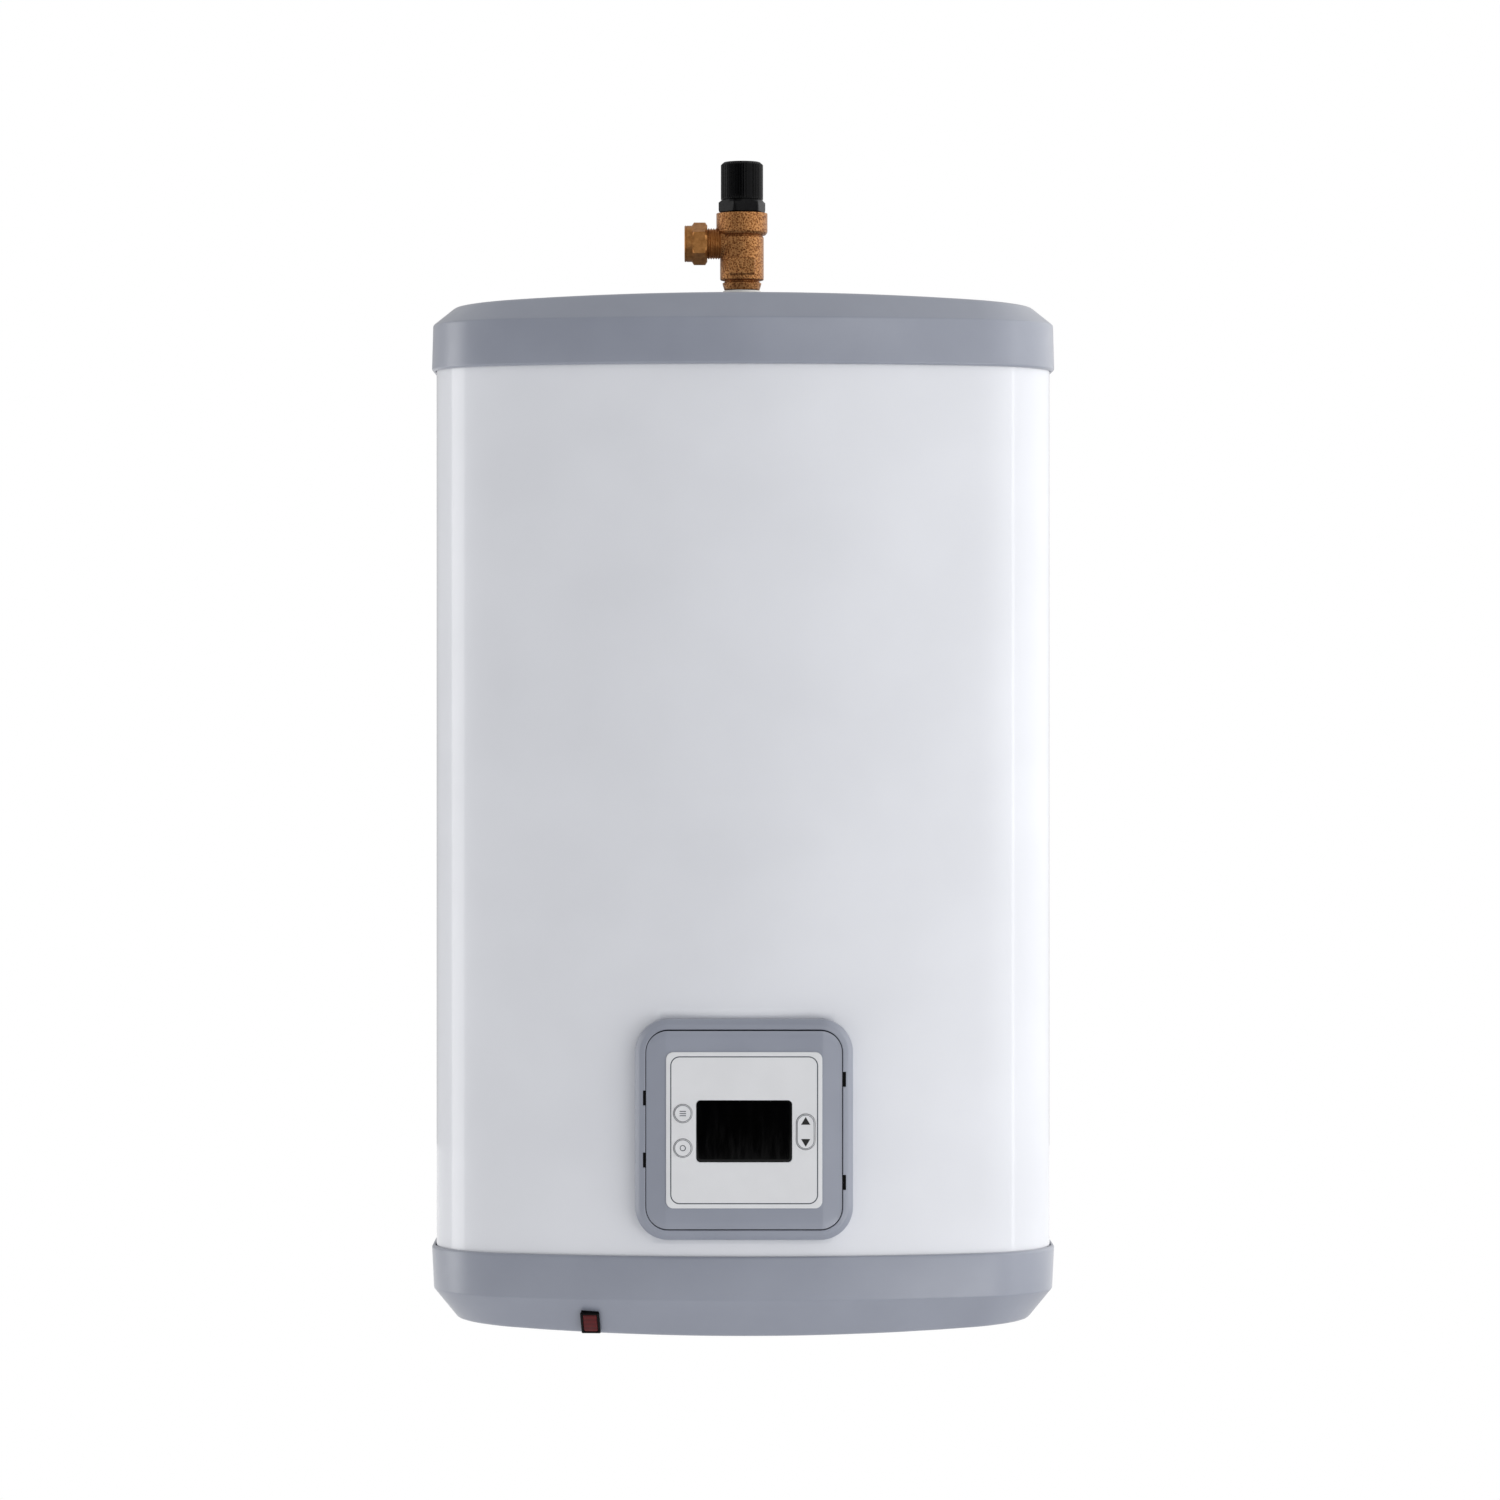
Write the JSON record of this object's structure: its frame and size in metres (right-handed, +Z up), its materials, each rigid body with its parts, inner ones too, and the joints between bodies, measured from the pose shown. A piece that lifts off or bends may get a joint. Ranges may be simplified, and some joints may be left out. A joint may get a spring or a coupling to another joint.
{
  "type": "tank water heater",
  "caption": "Wall-hung electric storage water heater with bowed white case, grey end caps, front control panel and a relief valve on top.",
  "frame": {"origin": "centre of the wall bracket's back face, on the wall", "axes": "+Y into the wall, +Z up along the longest side, +X to the right of someone facing the heater"},
  "size_m": [0.4416, 0.4652, 0.8614],
  "materials": {
    "case_enamel": "white stoved enamel, glossy",
    "grey_abs": "moulded ABS, satin",
    "pu_foam": "blown polyurethane foam",
    "tank_enamel": "vitreous enamel",
    "zinc_steel": "zinc plated steel",
    "rubber": "moulded rubber",
    "copper": "drawn copper, satin",
    "machined_brass": "turned brass",
    "cast_brass": "sand-cast dezincification resistant brass",
    "magnesium": "extruded magnesium",
    "white_plastic": "moulded nylon",
    "key_plastic": "moulded key cap",
    "label_film": "printed polycarbonate film",
    "black_window": "polished acrylic",
    "black_plastic": "moulded nylon",
    "circuit_board": "solder mask",
    "red_lens": "moulded polycarbonate lens"
  },
  "bodies": {
    "root": {"body_shell": "case_enamel", "top_cap": "grey_abs", "bottom_cap": "grey_abs", "insulation_foam": "pu_foam", "inner_tank": "tank_enamel", "hanging_bracket": "zinc_steel", "wall_bracket": "zinc_steel", "wall_spacer_left": "rubber", "wall_spacer_right": "rubber", "cap_screw_left": "zinc_steel", "cap_screw_right": "zinc_steel", "hanging_rivet_left": "zinc_steel", "hanging_rivet_right": "zinc_steel", "cold_pipe": "copper", "cold_diffuser": "white_plastic", "hot_pipe": "copper", "cold_nut": "machined_brass", "hot_nut": "machined_brass", "element_gasket": "rubber", "element_flange": "zinc_steel", "heating_element": "copper", "sensor_pocket": "copper", "temperature_probe": "zinc_steel", "thermal_cutout": "black_plastic", "anode_rod": "magnesium", "flange_bolt_1": "zinc_steel", "flange_bolt_2": "zinc_steel", "flange_bolt_3": "zinc_steel", "flange_bolt_4": "zinc_steel", "control_housing": "white_plastic", "control_bezel": "grey_abs", "control_cover": "grey_abs", "label_plate": "label_film", "display_window": "black_window", "lcd_module": "zinc_steel", "control_board": "circuit_board", "mode_switch": "black_plastic", "set_switch": "black_plastic", "up_switch": "black_plastic", "down_switch": "black_plastic", "terminal_block": "white_plastic", "relay": "black_plastic", "neon_bezel": "black_plastic", "neon_lens": "red_lens", "cable_gland": "black_plastic", "gland_nut": "black_plastic", "valve_collar": "white_plastic", "valve_body": "cast_brass", "valve_bonnet": "black_plastic", "valve_probe": "copper", "valve_spring": "zinc_steel", "outlet_nut": "machined_brass", "outlet_olive": "machined_brass"},
    "valve_stem": {"valve_spindle": "machined_brass", "valve_disc": "rubber"},
    "knob": {"test_knob": "black_plastic"},
    "mode_button": {"mode_key": "key_plastic"},
    "set_button": {"set_key": "key_plastic"},
    "arrow_rocker": {"arrow_key": "key_plastic"}
  },
  "joints": [
    {"name": "spindle_lift", "type": "slide", "parent": "root", "child": "valve_stem", "axis": [0, 0, 1], "range_m": [0, 0.002], "stiffness_N_per_m": 1000, "deforming": ["valve_spring"]},
    {"name": "knob_turn", "type": "hinge", "parent": "valve_stem", "child": "knob", "pos_m": [0, -0.232, 0.1694], "axis": [0, 0, 1], "range_deg": [0, 90]},
    {"name": "mode_press", "type": "slide", "parent": "root", "child": "mode_button", "axis": [0, 1, 0], "range_m": [0, 0.0008], "stiffness_N_per_m": 800},
    {"name": "set_press", "type": "slide", "parent": "root", "child": "set_button", "axis": [0, 1, 0], "range_m": [0, 0.0008], "stiffness_N_per_m": 800},
    {"name": "arrow_tilt", "type": "hinge", "parent": "root", "child": "arrow_rocker", "pos_m": [0.0425, -0.46, -0.41355], "axis": [1, 0, 0], "range_deg": [-3, 3], "stiffness_Nm_per_rad": 0.1}
  ],
  "couplings": [
    {"joint": "knob_turn", "follows": "spindle_lift", "rad_per_m": 785.39}
  ]
}
